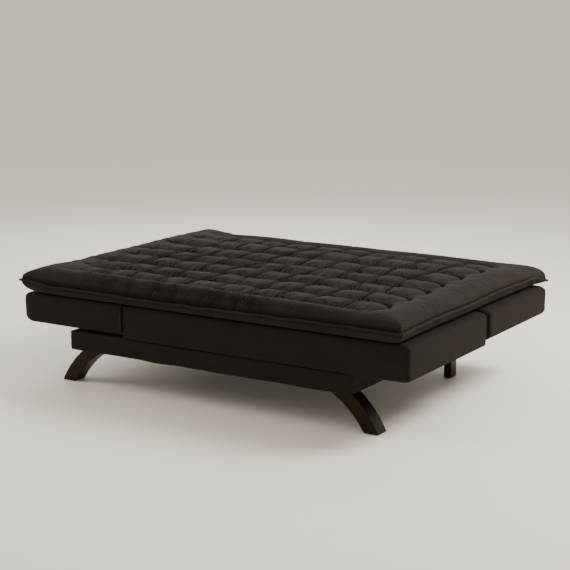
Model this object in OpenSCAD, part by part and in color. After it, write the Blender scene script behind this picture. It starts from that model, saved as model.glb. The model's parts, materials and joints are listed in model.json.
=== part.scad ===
// Folding sofa bed with a pillow-top mattress, shown flat as a bed.
// X runs along the length, Y from the front edge to the rear edge, Z up.
// The origin is on the floor below the middle of the mattress.

/* [Base] */
// Length of the upholstered base, end to end
base_length = 1800; // [1700:10:1900]
// Depth of the upholstered base when it lies flat
base_depth = 1285; // [1240:5:1340]
// Height of the top of the base above the floor
base_height = 374; // [372:1:400]
// Thickness of the fixed seat section
seat_thickness = 142; // [138:1:150]
// Thickness of the folding arm and back sections
wing_thickness = 129; // [126:1:134]
// Length of the folding arm section
arm_length = 508; // [470:1:540]
// Depth of the folding back section
back_depth = 598; // [570:1:620]
// Open gap between neighbouring sections
section_gap = 16; // [15:1:18]
// Radius of the upright outer corners of the sections
corner_radius = 45; // [36:1:60]
// Angle through which the arm and the back fold up
fold_angle = 70; // [45:5:70]

/* [Mattress] */
// Length of the mattress over its welt seam
mattress_length = 1806; // [1780:2:1840]
// Depth of the mattress over its welt seam
mattress_depth = 1354; // [1320:2:1400]
// Thickness of the mattress
mattress_thickness = 104; // [90:1:115]
// Height of the welt seam above the base
welt_height = 51; // [40:1:60]
// Distance the underside is drawn in from the welt seam
underside_inset = 70; // [50:5:90]
// Distance the flat of the top is drawn in from the welt seam
top_inset = 95; // [70:5:120]

/* [Box and legs] */
// Length of the box under the sections
box_length = 1339; // [1300:1:1400]
// Depth of the box
box_depth = 980; // [940:10:1000]
// Distance the box stands back from the front of the seat
box_setback = 12; // [8:1:30]
// Height of the underside of the box above the floor
box_clearance = 156; // [150:1:170]
// Width of a front leg across its foot
leg_foot_width = 63; // [55:1:70]
// Distance from the middle of the object to the outside of a front foot
leg_foot_reach = 757; // [740:1:770]
// Width of a front leg at its top
leg_top_width = 108; // [95:1:115]
// Distance from the middle of the object to the outside of a front leg's top
leg_top_reach = 628; // [620:1:640]
// Rise of the outer bow of a front leg above its chord
leg_outer_bow = 12; // [6:1:18]
// Rise of the inner bow of a front leg above its chord
leg_inner_bow = 18; // [12:1:24]
// Thickness of a front leg from front to rear
leg_depth = 65; // [55:1:75]
// Distance the front legs stand back from the front of the box
leg_setback = 50; // [35:1:60]
// Width of a rear leg along the length
rear_leg_width = 33; // [28:1:40]
// Thickness of a rear leg from front to rear
rear_leg_depth = 52; // [45:1:60]
// Distance from the middle of the object to the inside of a rear leg
rear_leg_reach = 597; // [570:1:600]

/* [Hidden] */
$fn = 64;

// Planes that the whole model is set out from
half_length = base_length / 2;
half_depth = base_depth / 2;
half_gap = section_gap / 2;
arm_fold_x = arm_length - half_length;
back_fold_y = half_depth - back_depth;
seat_bottom = base_height - seat_thickness;
wing_bottom = base_height - wing_thickness;
box_front = box_setback - half_depth;
box_rear = box_front + box_depth;

// Upholstery
cover_thickness = 3;
dust_thickness = 2;
foam_rim = 30;
frame_inset = cover_thickness + foam_rim;
rail_width = 30;
rail_height = 55;
spring_wire = 4;
spring_pitch = 55;
spring_spacing = 120;
spring_half_width = 22;
slab_gap = 8;
fold_chamfer = 12;

// Hinges: the pivot lies just under the top of the base, in the gap
pivot_depth = 14;
pivot_z = base_height - pivot_depth;
plate_thickness = 4;
plate_gap = 0.5;
eye_radius = 13;
pin_radius = 4;
pin_head_radius = 7;
pin_head_thickness = 2;
running_clearance = 0.05;
plate_neck = 78;
plate_reach = 142;
plate_drop = 45;
plate_foot = 105;
screw_radius = 3;
screw_head_radius = 5.5;
screw_head_thickness = 2.5;
screw_depth = 20;
screw_reach = [92, 126];
screw_drop = 85;
slot_width = 16;
slot_reach = 26;
slot_play = 5;

// Back hinges, and the distance from a hinge to the far side of its seat rail
back_hinge_inset = 250;
back_hinge_x = [arm_fold_x + back_hinge_inset, 2 * back_hinge_inset];
bar_offset = plate_thickness + rail_width;

// Box
panel_rail = 22;
stud_radius = 4;
stud_half_length = 35;
glide_thickness = 3;
glide_margin = 3;
leg_block_height = seat_bottom - box_clearance - dust_thickness;
rest_pad_size = [18, 60];
arm_rail_x = arm_fold_x - 70;

// Mattress
welt_width = 8;
welt_thickness = 4;
mattress_skin = 3;
fold_clearance = 2;
corner_relief = 100;

// Sections: [low corner, high corner, bottom, rounded corners]
seat_section = [
    [arm_fold_x + half_gap, -half_depth],
    [half_length, back_fold_y - half_gap],
    seat_bottom,
    [[1, -1]]
];
arm_section = [
    [-half_length, -half_depth],
    [arm_fold_x - half_gap, back_fold_y - half_gap],
    wing_bottom,
    [[-1, -1]]
];
back_section = [
    [-half_length, back_fold_y + half_gap],
    [half_length, half_depth],
    wing_bottom,
    [[-1, 1], [1, 1]]
];

// ---- Shared shapes ----

// A box given by two corners
module span(low, high) {
    translate(low)
        cube(high - low);
}

// A rectangle with the corners named by their directions rounded off
module rounded_plan(low, high, radius, corners) {
    difference() {
        translate(low)
            square(high - low);
        for (c = corners) {
            tip = [c.x > 0 ? high.x : low.x, c.y > 0 ? high.y : low.y];
            difference() {
                translate(tip - (radius - 1) / 2 * c)
                    square(radius + 1, center = true);
                translate(tip - radius * c)
                    circle(radius);
            }
        }
    }
}

// The plan of a section, drawn in from its outside by a distance
module section_plan(section, inset) {
    rounded_plan(
        section[0] + [inset, inset],
        section[1] - [inset, inset],
        corner_radius - inset,
        section[3]
    );
}

// The solid of a section between two heights, drawn in by a distance
module section_solid(section, inset, bottom, top) {
    translate([0, 0, bottom])
        linear_extrude(top - bottom)
            section_plan(section, inset);
}

// The wedges cut from the upper edges of the arm and the back at their folds
module fold_chamfers() {
    size = fold_chamfer * sqrt(2);
    translate([arm_fold_x - half_gap, 0, base_height])
        rotate([0, 45, 0])
            cube([size, 2 * base_depth, size], center = true);
    translate([0, back_fold_y + half_gap, base_height])
        rotate([45, 0, 0])
            cube([2 * base_length, size, size], center = true);
}

// Puts a shape drawn for a fold in the XZ plane, reaching along +X from the
// pivot, at each back hinge; side is 1 for the back and -1 for the seat
module at_back_hinges(side) {
    for (x = back_hinge_x)
        translate([x, back_fold_y, pivot_z])
            rotate([0, 0, 90])
                mirror([side > 0 ? 0 : 1, 0, 0])
                    children();
}

// The same at the front and rear arm hinges; side is 1 for the seat, -1 for the arm
module at_arm_hinges(side) {
    front_y = frame_inset + bar_offset - half_depth;
    rear_y = back_fold_y - half_gap - frame_inset - bar_offset;
    for (hinge = [[front_y, 1], [rear_y, -1]])
        translate([arm_fold_x, hinge[0], pivot_z])
            mirror([0, hinge[1] > 0 ? 1 : 0, 0])
                mirror([side > 0 ? 0 : 1, 0, 0])
                    children();
}

// ---- Hinge parts, drawn at one pivot ----

// Plate outline in the XZ plane: an eye, a sloping neck and a foot for two screws
module plate_outline() {
    difference() {
        union() {
            circle(eye_radius);
            polygon([
                [0, eye_radius],
                [plate_reach, -plate_drop],
                [plate_reach, -plate_foot],
                [plate_neck, -plate_foot],
                [plate_neck, -plate_drop],
                [0, -eye_radius]
            ]);
        }
        circle(pin_radius + running_clearance);
        for (reach = screw_reach)
            translate([reach, -screw_drop])
                circle(screw_radius + running_clearance);
    }
}

// The plate screwed to the seat lies just beyond y = 0, the moving one before it
module fixed_plate() {
    translate([0, plate_thickness, 0])
        rotate([90, 0, 0])
            linear_extrude(plate_thickness)
                plate_outline();
}

module moving_plate() {
    translate([0, -plate_gap, 0])
        rotate([90, 0, 0])
            linear_extrude(plate_thickness)
                plate_outline();
}

// Pivot pin through both plates, riveted over at its ends
module pivot_pin() {
    low = -plate_gap - plate_thickness;
    high = plate_thickness;
    translate([0, high + pin_head_thickness, 0])
        rotate([90, 0, 0]) {
            cylinder(r = pin_head_radius, h = pin_head_thickness);
            cylinder(r = pin_radius, h = high - low + 2 * pin_head_thickness);
            translate([0, 0, high - low + pin_head_thickness])
                cylinder(r = pin_head_radius, h = pin_head_thickness);
        }
}

// Two screws whose heads lie on the plane y = 0 and whose shanks point to +Y
module screws(clearance = 0) {
    for (reach = screw_reach)
        translate([reach, 0, -screw_drop])
            rotate([-90, 0, 0]) {
                cylinder(r = screw_radius + clearance, h = plate_thickness + screw_depth + clearance);
                translate([0, 0, -screw_head_thickness])
                    cylinder(r = screw_head_radius, h = screw_head_thickness);
            }
}

// Screws of a moving plate, which lies on the other side of its rail
module moving_screws(clearance = 0) {
    translate([0, -plate_gap, 0])
        mirror([0, 1, 0])
            screws(clearance);
}

// Slot that both plates pass through, from the gap up to a reach into a section
module plate_slot(reach, low) {
    translate([-section_gap, -slot_width / 2, low])
        cube([reach + section_gap, slot_width, pivot_depth - low + 1]);
}

// All slots in the seat's foam or cover
module seat_slots(reach, low) {
    at_back_hinges(-1) plate_slot(reach, low);
    at_arm_hinges(1) plate_slot(reach, low);
}

// ---- Upholstered sections ----

// Fabric over the top and sides, turned in under the bottom edge
module cover(section) {
    difference() {
        section_solid(section, 0, section[2], base_height);
        section_solid(
            section, cover_thickness, section[2] + dust_thickness, base_height - cover_thickness
        );
        section_solid(section, foam_rim, section[2] - 1, base_height / 2 + section[2] / 2);
    }
}

// Thin lining that closes the underside inside the turned-in edge
module dust_panel(section) {
    section_solid(section, foam_rim, section[2], section[2] + dust_thickness);
}

module foam(section) {
    bottom = section[2] + dust_thickness;
    cavity_top = bottom + rail_height + slab_gap;
    difference() {
        section_solid(section, cover_thickness, bottom, base_height - cover_thickness);
        span(
            [section[0].x + frame_inset, section[0].y + frame_inset, bottom - 1],
            [section[1].x - frame_inset, section[1].y - frame_inset, cavity_top]
        );
    }
}

// Rectangle of rails inside a section, with the bars that carry its hinges
module frame(section, cross_x = [], cross_y = []) {
    low = section[0] + [frame_inset, frame_inset];
    high = section[1] - [frame_inset, frame_inset];
    bottom = section[2] + dust_thickness;
    translate([0, 0, bottom])
        linear_extrude(rail_height) {
            difference() {
                translate(low)
                    square(high - low);
                translate(low + [rail_width, rail_width])
                    square(high - low - 2 * [rail_width, rail_width]);
            }
            for (x = cross_x)
                translate([x, low.y])
                    square([rail_width, high.y - low.y]);
            for (y = cross_y)
                translate([low.x, y])
                    square([high.x - low.x, rail_width]);
        }
}

// One zigzag spring lying along Y: runs of wire linked at alternate ends
module zigzag(low_y, high_y) {
    turns = floor((high_y - low_y) / spring_pitch);
    pitch = (high_y - low_y - spring_wire) / turns;
    linear_extrude(spring_wire) {
        for (i = [0:turns])
            translate([-spring_half_width, low_y + i * pitch])
                square([2 * spring_half_width, spring_wire]);
        for (i = [0:turns - 1])
            translate([i % 2 == 0 ? -spring_half_width : spring_half_width - spring_wire, low_y + i * pitch])
                square([spring_wire, pitch + spring_wire]);
    }
}

// Springs spread evenly over a bay of a frame, from one X to another
module springs(section, low_x, high_x) {
    count = floor((high_x - low_x) / spring_spacing);
    inset = frame_inset + rail_width / 3;
    for (i = [0:count - 1])
        translate([
            low_x + (i + 0.5) * (high_x - low_x) / count,
            0,
            section[2] + dust_thickness + rail_height
        ])
            zigzag(section[0].y + inset, section[1].y - inset);
}

module seat_frame() {
    color("burlywood")
        difference() {
            frame(seat_section, cross_x = [for (x = back_hinge_x) x - bar_offset]);
            at_back_hinges(-1) screws(running_clearance);
            at_arm_hinges(1) screws(running_clearance);
            seat_bolt_shanks(stud_radius + running_clearance);
        }
}

module seat_springs() {
    color("dimgray") {
        springs(seat_section, arm_fold_x + plate_reach + slot_width, back_hinge_x[0] - bar_offset);
        springs(seat_section, back_hinge_x[0] + slot_width, back_hinge_x[1] - bar_offset);
        springs(seat_section, back_hinge_x[1] + slot_width, half_length - frame_inset - rail_width);
    }
}

module seat_foam() {
    color("lightyellow")
        difference() {
            foam(seat_section);
            seat_slots(plate_reach + slot_play, -seat_thickness);
        }
}

module seat_cover() {
    color([0.07, 0.065, 0.07])
        difference() {
            cover(seat_section);
            seat_slots(slot_reach, -seat_thickness / 2);
        }
}

module seat_dust_panel() {
    color([0.05, 0.05, 0.05])
        difference() {
            dust_panel(seat_section);
            seat_bolt_shanks(stud_radius + running_clearance);
        }
}

module arm_frame() {
    bar_inset = frame_inset + bar_offset + plate_gap + plate_thickness;
    front_bar = bar_inset - half_depth;
    rear_bar = back_fold_y - half_gap - bar_inset - rail_width;
    color("burlywood")
        difference() {
            frame(arm_section, cross_y = [front_bar, rear_bar]);
            at_arm_hinges(-1) moving_screws(running_clearance);
        }
}

module arm_springs() {
    color("dimgray")
        springs(arm_section, frame_inset + rail_width - half_length, arm_fold_x - plate_reach);
}

module arm_foam() {
    color("lightyellow")
        difference() {
            foam(arm_section);
            at_arm_hinges(-1) plate_slot(plate_reach + slot_play, -wing_thickness);
            fold_chamfers();
        }
}

module arm_cover() {
    color([0.07, 0.065, 0.07])
        difference() {
            cover(arm_section);
            at_arm_hinges(-1) plate_slot(slot_reach, -wing_thickness / 2);
            fold_chamfers();
        }
}

module arm_dust_panel() {
    color([0.05, 0.05, 0.05])
        dust_panel(arm_section);
}

module back_frame() {
    color("burlywood")
        difference() {
            frame(back_section, cross_x = [for (x = back_hinge_x) x + plate_gap + plate_thickness]);
            at_back_hinges(1) moving_screws(running_clearance);
        }
}

module back_springs() {
    hinge_width = plate_gap + bar_offset;
    color("dimgray") {
        springs(back_section, frame_inset + rail_width - half_length, back_hinge_x[0] - slot_width);
        springs(back_section, back_hinge_x[0] + hinge_width, back_hinge_x[1] - slot_width);
        springs(back_section, back_hinge_x[1] + hinge_width, half_length - frame_inset - rail_width);
    }
}

module back_foam() {
    color("lightyellow")
        difference() {
            foam(back_section);
            at_back_hinges(1) plate_slot(plate_reach + slot_play, -wing_thickness);
            fold_chamfers();
        }
}

module back_cover() {
    color([0.07, 0.065, 0.07])
        difference() {
            cover(back_section);
            at_back_hinges(1) plate_slot(slot_reach, -wing_thickness / 2);
            fold_chamfers();
        }
}

module back_dust_panel() {
    color([0.05, 0.05, 0.05])
        dust_panel(back_section);
}

// ---- Hinges ----

module back_hinge_fixed_plates() {
    color("silver")
        at_back_hinges(-1) fixed_plate();
}

module back_hinge_moving_plates() {
    color("silver")
        at_back_hinges(1) moving_plate();
}

module back_hinge_pins() {
    color("gray")
        at_back_hinges(-1) pivot_pin();
}

module arm_hinge_fixed_plates() {
    color("silver")
        at_arm_hinges(1) fixed_plate();
}

module arm_hinge_moving_plates() {
    color("silver")
        at_arm_hinges(-1) moving_plate();
}

module arm_hinge_pins() {
    color("gray")
        at_arm_hinges(1) pivot_pin();
}

module seat_hinge_screws() {
    color("gray") {
        at_back_hinges(-1) screws();
        at_arm_hinges(1) screws();
    }
}

module back_hinge_screws() {
    color("gray")
        at_back_hinges(1) moving_screws();
}

module arm_hinge_screws() {
    color("gray")
        at_arm_hinges(-1) moving_screws();
}

// ---- Box ----

box_half = box_length / 2;
rail_bottom = box_clearance + dust_thickness;
seat_rail_x = [for (x = back_hinge_x) x - bar_offset];
cross_rail_x = concat([arm_rail_x], seat_rail_x);

// One long rail of the box between two corners of its plan
module box_rail(low, high) {
    color("burlywood")
        span([low.x, low.y, rail_bottom], [high.x, high.y, seat_bottom]);
}

module base_front_rail() {
    box_rail(
        [cover_thickness - box_half, box_front + cover_thickness],
        [box_half - cover_thickness, box_front + cover_thickness + panel_rail]
    );
}

module base_rear_rail() {
    box_rail(
        [cover_thickness - box_half, box_rear - cover_thickness - panel_rail],
        [box_half - cover_thickness, box_rear - cover_thickness]
    );
}

module side_rail(side) {
    outer = box_half - cover_thickness;
    inner = outer - panel_rail;
    box_rail(
        [side > 0 ? inner : -outer, box_front + cover_thickness + panel_rail],
        [side > 0 ? outer : -inner, box_rear - cover_thickness - panel_rail]
    );
}

module base_left_rail() {
    side_rail(-1);
}

module base_right_rail() {
    side_rail(1);
}

module base_cross_rails() {
    color("burlywood")
        difference() {
            for (x = cross_rail_x)
                span(
                    [x, box_front + cover_thickness + panel_rail, rail_bottom],
                    [x + rail_width, box_rear - cover_thickness - panel_rail, seat_bottom]
                );
            seat_bolt_shanks(stud_radius + running_clearance);
            seat_bolt_heads(running_clearance);
        }
}

module base_cover() {
    color([0.07, 0.065, 0.07])
        difference() {
            span([-box_half, box_front, box_clearance], [box_half, box_rear, seat_bottom]);
            span(
                [cover_thickness - box_half, box_front + cover_thickness, box_clearance - 1],
                [box_half - cover_thickness, box_rear - cover_thickness, seat_bottom + 1]
            );
        }
}

module base_dust_panel() {
    color([0.05, 0.05, 0.05])
        difference() {
            span(
                [cover_thickness - box_half, box_front + cover_thickness, box_clearance],
                [box_half - cover_thickness, box_rear - cover_thickness, rail_bottom]
            );
            stud_shanks(stud_radius + running_clearance);
        }
}

// Rubber pads on the rails that the arm and the back lie on when they are flat
rest_y = [-480, -120, 120, 280];
module base_rest_pads() {
    side_x = box_half - cover_thickness - panel_rail / 2;
    middles = [for (x = cross_rail_x) x + rail_width / 2];
    arm_pads = [for (x = [-side_x, middles[0]], y = [rest_y[0], rest_y[1]]) [x, y]];
    back_pads = [for (x = concat([-side_x, side_x], middles), y = [rest_y[2], rest_y[3]]) [x, y]];
    color("black")
        for (place = concat(arm_pads, back_pads))
            translate([place.x, place.y, seat_bottom])
                linear_extrude(wing_bottom - seat_bottom)
                    square(rest_pad_size, center = true);
}

// Four bolts that hold the seat frame down on the cross rails
seat_bolt_y = [-480, -120];
bolt_head_height = 10;
module seat_bolt_shanks(radius) {
    for (x = seat_rail_x, y = seat_bolt_y)
        translate([x + rail_width / 2, y, rail_bottom + bolt_head_height])
            cylinder(r = radius, h = seat_bottom - rail_bottom + rail_height - bolt_head_height);
}

module seat_bolt_heads(clearance = 0) {
    for (x = seat_rail_x, y = seat_bolt_y)
        translate([x + rail_width / 2, y, rail_bottom - clearance])
            cylinder(r = pin_head_radius + clearance, h = bolt_head_height + 2 * clearance);
}

module seat_bolts() {
    color("gray") {
        seat_bolt_shanks(stud_radius);
        seat_bolt_heads();
    }
}

// ---- Legs ----

front_leg_y = box_front + leg_setback;
rear_leg_y = box_rear - rear_leg_depth;

// Radius of the arc that rises by a bow over a chord
function bow_radius(chord, bow) = (chord * chord / 4 + bow * bow) / (2 * bow);

// Centre of the arc from one point to another that bows to the right of its chord
function bow_centre(start, end, bow) =
    let (chord = norm(end - start))
    let (along = (end - start) / chord)
    let (left = [-along.y, along.x])
    (start + end) / 2 + left * (bow_radius(chord, bow) - bow);

// Disc whose rim holds that arc
module bow_disc(foot, top, bow) {
    translate(bow_centre(foot, top, bow))
        circle(bow_radius(norm(top - foot), bow), $fn = 360);
}

// Bowed front leg, seen from the front, foot on its glide and top under the box
module bowed_outline() {
    foot_outer = [leg_foot_reach, glide_thickness];
    foot_inner = foot_outer - [leg_foot_width, 0];
    top_outer = [leg_top_reach, box_clearance];
    top_inner = top_outer - [leg_top_width, 0];
    intersection() {
        difference() {
            bow_disc(foot_outer, top_outer, leg_outer_bow);
            bow_disc(foot_inner, top_inner, leg_inner_bow);
        }
        translate([top_inner.x - leg_top_width, glide_thickness])
            square([foot_outer.x - top_inner.x + 2 * leg_top_width, box_clearance - glide_thickness]);
    }
}

module front_leg() {
    color([0.09, 0.07, 0.06])
        difference() {
            translate([0, front_leg_y + leg_depth, 0])
                rotate([90, 0, 0])
                    linear_extrude(leg_depth)
                        bowed_outline();
            stud_shanks(stud_radius + running_clearance);
        }
}

module front_leg_right() {
    front_leg();
}

module front_leg_left() {
    mirror([1, 0, 0])
        front_leg();
}

module rear_leg() {
    color([0.09, 0.07, 0.06])
        difference() {
            span(
                [rear_leg_reach, rear_leg_y, glide_thickness],
                [rear_leg_reach + rear_leg_width, box_rear, box_clearance]
            );
            stud_shanks(stud_radius + running_clearance);
        }
}

module rear_leg_right() {
    rear_leg();
}

module rear_leg_left() {
    mirror([1, 0, 0])
        rear_leg();
}

// Timber blocks in the corners of the box that the legs are screwed to
leg_block_margin = [10, 15];
leg_block_size = [leg_top_width, leg_depth] + 2 * leg_block_margin;
module base_leg_blocks() {
    front_low = [leg_top_reach - leg_top_width, front_leg_y] - leg_block_margin;
    rear_high = [rear_leg_reach + rear_leg_width, box_rear - cover_thickness - panel_rail];
    color("burlywood")
        difference() {
            for (side = [0, 1], low = [front_low, rear_high - leg_block_size])
                mirror([side, 0, 0])
                    translate([low.x, low.y, rail_bottom])
                        cube([leg_block_size.x, leg_block_size.y, leg_block_height]);
            stud_shanks(stud_radius + running_clearance);
        }
}

// Studs that run up from each leg into its block
stud_places = concat(
    [for (y = [0.25, 0.75]) [leg_top_reach - leg_top_width / 3, front_leg_y + y * leg_depth]],
    [[rear_leg_reach + rear_leg_width / 2, rear_leg_y + rear_leg_depth / 3]]
);
module stud_shanks(radius) {
    for (side = [0, 1], place = stud_places)
        mirror([side, 0, 0])
            translate([place.x, place.y, box_clearance - stud_half_length])
                cylinder(r = radius, h = 2 * stud_half_length);
}

module leg_studs() {
    color("gray")
        stud_shanks(stud_radius);
}

module leg_glides() {
    margins = 2 * [glide_margin, glide_margin];
    front_size = [leg_foot_width, leg_depth] - margins;
    rear_size = [rear_leg_width, rear_leg_depth] - margins;
    front_centre = [leg_foot_reach - leg_foot_width / 2, front_leg_y + leg_depth / 2];
    rear_centre = [rear_leg_reach + rear_leg_width / 2, rear_leg_y + rear_leg_depth / 2];
    color("black")
        for (side = [0, 1], glide = [[front_centre, front_size], [rear_centre, rear_size]])
            mirror([side, 0, 0])
                translate([glide[0].x, glide[0].y, 0])
                    linear_extrude(glide_thickness)
                        square(glide[1], center = true);
}

// ---- Mattress ----

mattress_half = [mattress_length / 2 - welt_width, mattress_depth / 2 - welt_width];
mattress_bottom = base_height;
mattress_top = base_height + mattress_thickness;

// Upright profile of the mattress across one direction, drawn in by a distance
module mattress_profile(half, inset) {
    side = half - 1.5 * inset;
    under = half - underside_inset - inset;
    crown = half - top_inset - inset;
    low = mattress_bottom + inset;
    high = mattress_top - inset;
    welt_low = mattress_bottom + welt_height - welt_thickness / 2;
    welt_high = welt_low + welt_thickness;
    polygon([
        [-under, low], [under, low],
        [side, welt_low], [side, welt_high],
        [crown, high], [-crown, high],
        [-side, welt_high], [-side, welt_low]
    ]);
}

module mattress_body(inset) {
    intersection() {
        translate([0, mattress_depth, 0])
            rotate([90, 0, 0])
                linear_extrude(2 * mattress_depth)
                    mattress_profile(mattress_half.x, inset);
        translate([-mattress_length, 0, 0])
            rotate([90, 0, 90])
                linear_extrude(2 * mattress_length)
                    mattress_profile(mattress_half.y, inset);
    }
}

// Everything on the +X side of the pivot, behind a face that leans by an angle
module past_fold(angle) {
    low = mattress_bottom - pivot_z - 1;
    high = mattress_top - pivot_z + 1;
    far = 2 * base_length;
    translate([0, base_length, 0])
        rotate([90, 0, 0])
            linear_extrude(2 * base_length)
                polygon([
                    [fold_clearance + low * tan(angle), low],
                    [far, low],
                    [far, high],
                    [fold_clearance + high * tan(angle), high]
                ]);
}

// Part of the mattress on the seat: its fold faces lean by half the fold each
module seat_zone() {
    intersection() {
        translate([arm_fold_x, 0, pivot_z])
            past_fold(fold_angle / 2);
        translate([0, back_fold_y, pivot_z])
            rotate([0, 0, -90])
                past_fold(fold_angle / 2);
    }
}

module arm_zone() {
    intersection() {
        translate([arm_fold_x, 0, pivot_z])
            mirror([1, 0, 0])
                past_fold(fold_angle / 2);
        span(
            [-base_length, -base_depth, mattress_bottom - 1],
            [arm_fold_x, back_fold_y - half_gap, mattress_top + 1]
        );
    }
}

// Behind the arm the back's padding is thin, to make room for the raised arm
module back_zone() {
    split = arm_fold_x + corner_relief;
    for (strip = [[split, base_length, fold_angle / 2], [-base_length, split, fold_angle + 1]])
        intersection() {
            translate([0, back_fold_y, pivot_z])
                rotate([0, 0, 90])
                    past_fold(strip[2]);
            span(
                [strip[0], -base_depth, mattress_bottom - 1],
                [strip[1], base_depth, mattress_top + 1]
            );
        }
}

module mattress_core() {
    color("whitesmoke")
        intersection() {
            mattress_body(mattress_skin);
            children();
        }
}

// Cloth between two heights of the mattress's outside
module mattress_cloth(low, high) {
    color([0.1, 0.095, 0.1])
        intersection() {
            difference() {
                mattress_body(0);
                mattress_body(mattress_skin);
            }
            span([-base_length, -base_depth, low], [base_length, base_depth, high]);
            children();
        }
}

module mattress_top_panel() {
    mattress_cloth(mattress_bottom + welt_height, mattress_top)
        children();
}

module mattress_underside() {
    mattress_cloth(mattress_bottom, mattress_bottom + welt_height)
        children();
}

// Flat seam allowance that stands out round the edge of the mattress
module mattress_welt() {
    outer = mattress_half + [welt_width, welt_width];
    low = mattress_bottom + welt_height - welt_thickness / 2;
    color([0.06, 0.055, 0.06])
        intersection() {
            difference() {
                span([-outer.x, -outer.y, low], [outer.x, outer.y, low + welt_thickness]);
                span(
                    [-mattress_half.x, -mattress_half.y, low - 1],
                    [mattress_half.x, mattress_half.y, low + welt_thickness + 1]
                );
            }
            children();
        }
}

// ---- Mattress parts ----

module mattress_seat_core() {
    mattress_core()
        seat_zone();
}

module mattress_arm_core() {
    mattress_core()
        arm_zone();
}

module mattress_back_core() {
    mattress_core()
        back_zone();
}

module mattress_seat_top() {
    mattress_top_panel()
        seat_zone();
}

module mattress_arm_top() {
    mattress_top_panel()
        arm_zone();
}

module mattress_back_top() {
    mattress_top_panel()
        back_zone();
}

module mattress_seat_underside() {
    mattress_underside()
        seat_zone();
}

module mattress_arm_underside() {
    mattress_underside()
        arm_zone();
}

module mattress_back_underside() {
    mattress_underside()
        back_zone();
}

module mattress_seat_welt() {
    mattress_welt()
        seat_zone();
}

module mattress_arm_welt() {
    mattress_welt()
        arm_zone();
}

module mattress_back_welt() {
    mattress_welt()
        back_zone();
}

// ---- Nodes ----

base_front_rail();
base_rear_rail();
base_left_rail();
base_right_rail();
base_cross_rails();
base_leg_blocks();
base_cover();
base_dust_panel();
base_rest_pads();
front_leg_left();
front_leg_right();
rear_leg_left();
rear_leg_right();
leg_studs();
leg_glides();
seat_frame();
seat_springs();
seat_foam();
seat_cover();
seat_dust_panel();
seat_bolts();
arm_frame();
arm_springs();
arm_foam();
arm_cover();
arm_dust_panel();
back_frame();
back_springs();
back_foam();
back_cover();
back_dust_panel();
back_hinge_fixed_plates();
back_hinge_moving_plates();
back_hinge_pins();
arm_hinge_fixed_plates();
arm_hinge_moving_plates();
arm_hinge_pins();
seat_hinge_screws();
back_hinge_screws();
arm_hinge_screws();
mattress_seat_core();
mattress_seat_top();
mattress_seat_underside();
mattress_seat_welt();
mattress_arm_core();
mattress_arm_top();
mattress_arm_underside();
mattress_arm_welt();
mattress_back_core();
mattress_back_top();
mattress_back_underside();
mattress_back_welt();
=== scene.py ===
# Looks of the folding sofa bed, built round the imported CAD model. Metres, Z up.
import json
import math

import bmesh
import bpy
import numpy as np
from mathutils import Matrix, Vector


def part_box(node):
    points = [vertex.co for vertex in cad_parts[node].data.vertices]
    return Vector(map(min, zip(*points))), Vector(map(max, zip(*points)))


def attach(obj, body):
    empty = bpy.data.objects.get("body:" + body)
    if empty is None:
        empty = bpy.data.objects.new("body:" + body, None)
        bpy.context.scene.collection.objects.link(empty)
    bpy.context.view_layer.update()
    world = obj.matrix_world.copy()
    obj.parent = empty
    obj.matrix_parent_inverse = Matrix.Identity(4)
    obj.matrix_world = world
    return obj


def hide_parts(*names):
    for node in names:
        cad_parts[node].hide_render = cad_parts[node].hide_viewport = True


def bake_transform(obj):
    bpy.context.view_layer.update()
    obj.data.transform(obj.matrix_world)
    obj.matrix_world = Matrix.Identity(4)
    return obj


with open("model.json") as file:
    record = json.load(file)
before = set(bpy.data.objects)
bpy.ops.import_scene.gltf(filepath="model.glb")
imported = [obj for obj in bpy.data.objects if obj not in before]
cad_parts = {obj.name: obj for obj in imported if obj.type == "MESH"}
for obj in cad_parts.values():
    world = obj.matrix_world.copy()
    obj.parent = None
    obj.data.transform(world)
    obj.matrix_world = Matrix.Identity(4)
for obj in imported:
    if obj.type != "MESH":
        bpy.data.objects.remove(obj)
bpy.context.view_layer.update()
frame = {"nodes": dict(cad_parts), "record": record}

# ---------------------------------------------------------------- camera and stage

CAMERA_PLACE = (3.293, -5.294, 1.672)
CAMERA_TURN = 0.5583
CAMERA_DIP = 0.2029
CAMERA_LENS = 94.7
SENSOR_WIDTH = 36
FLOOR_HALF = 150
FLOOR_TONE = (0.86, 0.77, 0.66)
STUDIO_TONE = (1.0, 0.97, 0.93, 1)
STUDIO_STRENGTH = 0.9
# Each light's name, place, aim, size and power.
LIGHTS = (
    ("key", (2.8, 1.5, 3.1), (0, 0, 0.4), 1.5, 240),
    ("fill", (-3.4, -1.8, 1.9), (0, 0, 0.35), 1.6, 60),
    ("rim", (-2.4, 2.8, 2.6), (0, 0, 0.4), 2.0, 60),
)


def make_camera():
    """Camera that sees the bed from the front right, from a little above."""
    data = bpy.data.cameras.new("camera")
    data.lens = CAMERA_LENS
    data.sensor_width = SENSOR_WIDTH
    camera = bpy.data.objects.new("camera", data)
    camera.location = CAMERA_PLACE
    camera.rotation_euler = (math.pi / 2 - CAMERA_DIP, 0, CAMERA_TURN)
    bpy.context.collection.objects.link(camera)
    bpy.context.scene.camera = camera


def area_light(name, place, aim, size, power):
    """Square light at a place, turned towards its aim."""
    data = bpy.data.lights.new(name, "AREA")
    data.size = size
    data.energy = power
    light = bpy.data.objects.new(name, data)
    light.location = place
    light.rotation_euler = vector_angles(np.array(aim) - np.array(place))
    bpy.context.collection.objects.link(light)


def vector_angles(direction):
    """Euler angles that turn a light's -Z axis to a direction."""
    x, y, z = direction / np.linalg.norm(direction)
    return (math.acos(-z), 0, math.atan2(-x, y))


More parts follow.
